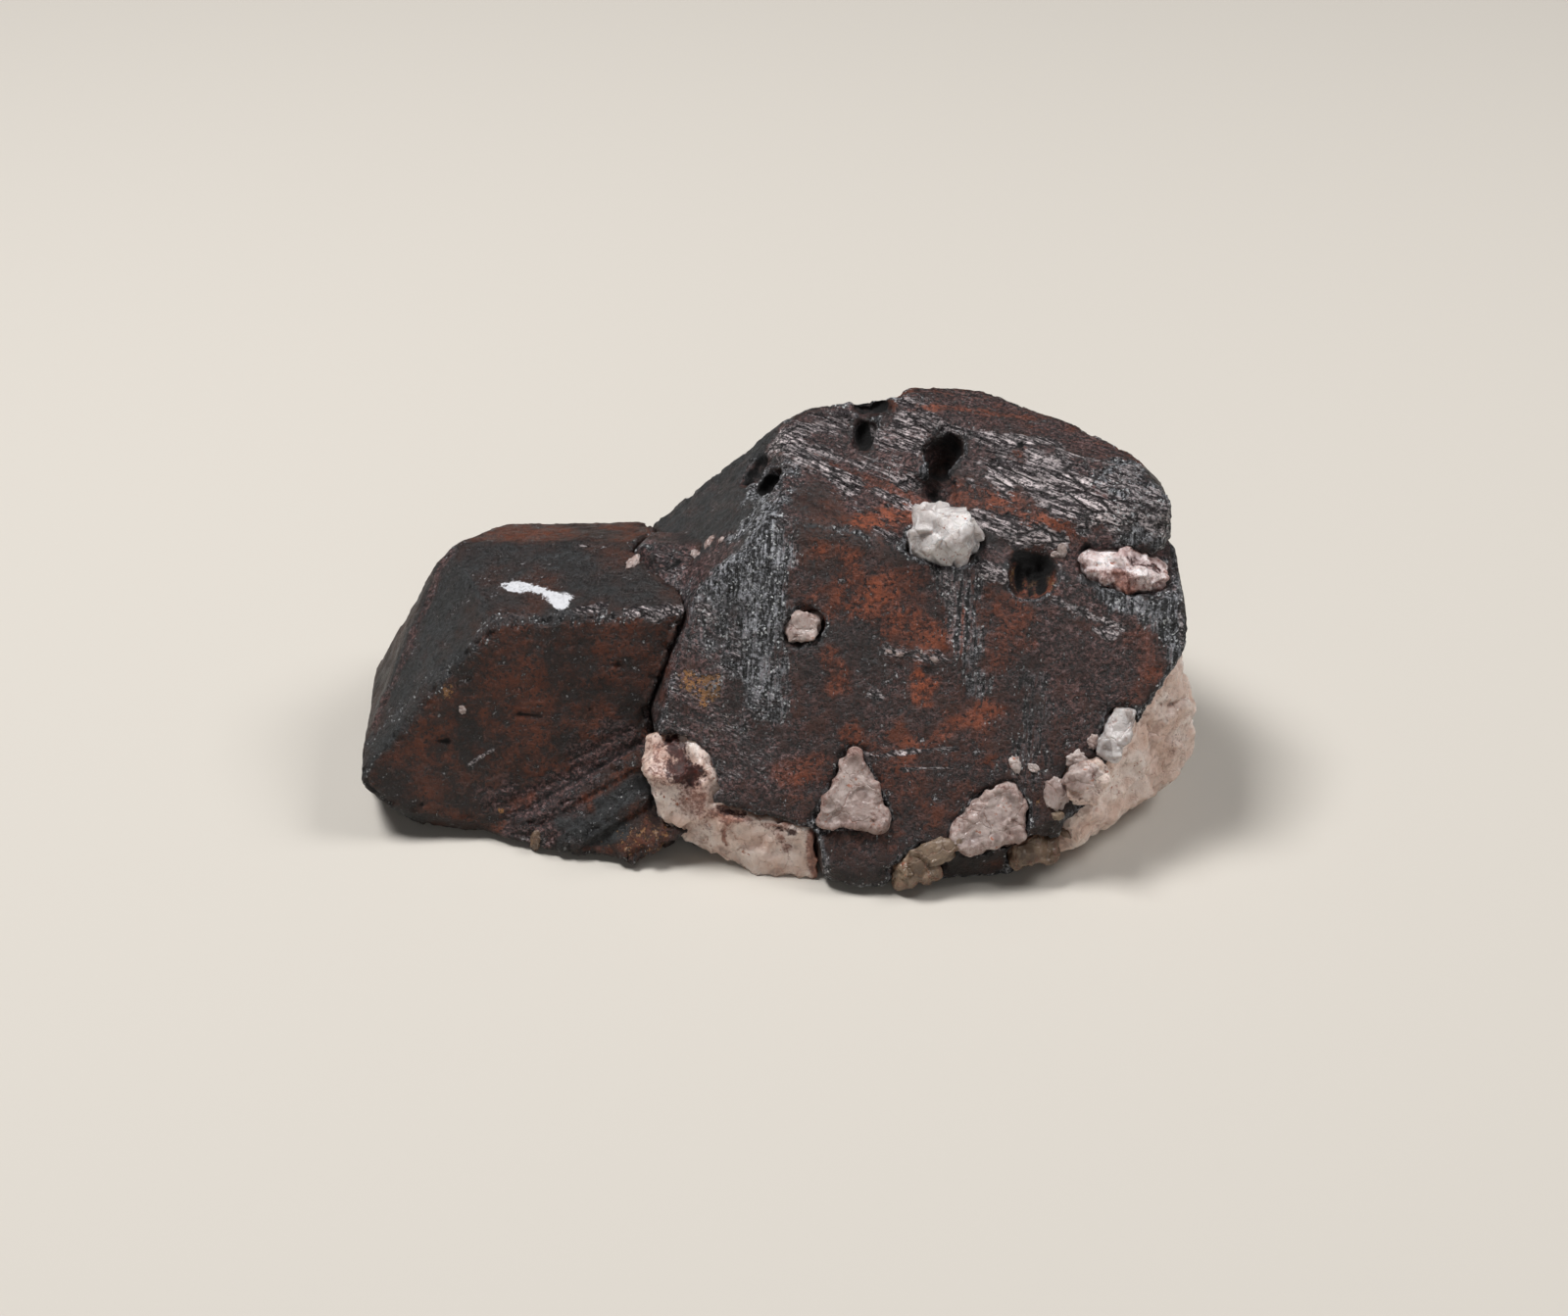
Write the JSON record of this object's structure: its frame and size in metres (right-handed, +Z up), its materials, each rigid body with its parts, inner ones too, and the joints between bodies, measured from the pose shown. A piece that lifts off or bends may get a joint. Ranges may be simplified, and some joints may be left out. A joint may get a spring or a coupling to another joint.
{
  "type": "mineral specimen",
  "caption": "Blocky dark ferberite crystals intergrown with a milky quartz matrix, with worn faces, pits, thin parting layers and broken ledges. It rests on its flat underside.",
  "frame": {"origin": "middle of the bounding box's footprint, on the plane that the specimen rests on", "axes": "+X along the specimen from the small crystal to the large one, +Y away from the side that shows the broad crystal faces, +Z up"},
  "size_m": [0.0772, 0.0434, 0.0313],
  "materials": {
    "ferberite": "dull submetallic, worn, with rust-brown films",
    "milky_quartz": "milky, slightly see-through at thin edges, broken surface"
  },
  "bodies": {
    "root": {"large_crystal": "ferberite", "small_crystal": "ferberite", "quartz_matrix": "milky_quartz", "quartz_wedge": "milky_quartz", "quartz_lens": "milky_quartz", "quartz_knob": "milky_quartz", "quartz_vein": "milky_quartz", "quartz_chip": "milky_quartz", "quartz_pebble": "milky_quartz", "quartz_eye": "milky_quartz", "quartz_grain_low": "milky_quartz", "quartz_grain_right": "milky_quartz"}
  },
  "joints": []
}
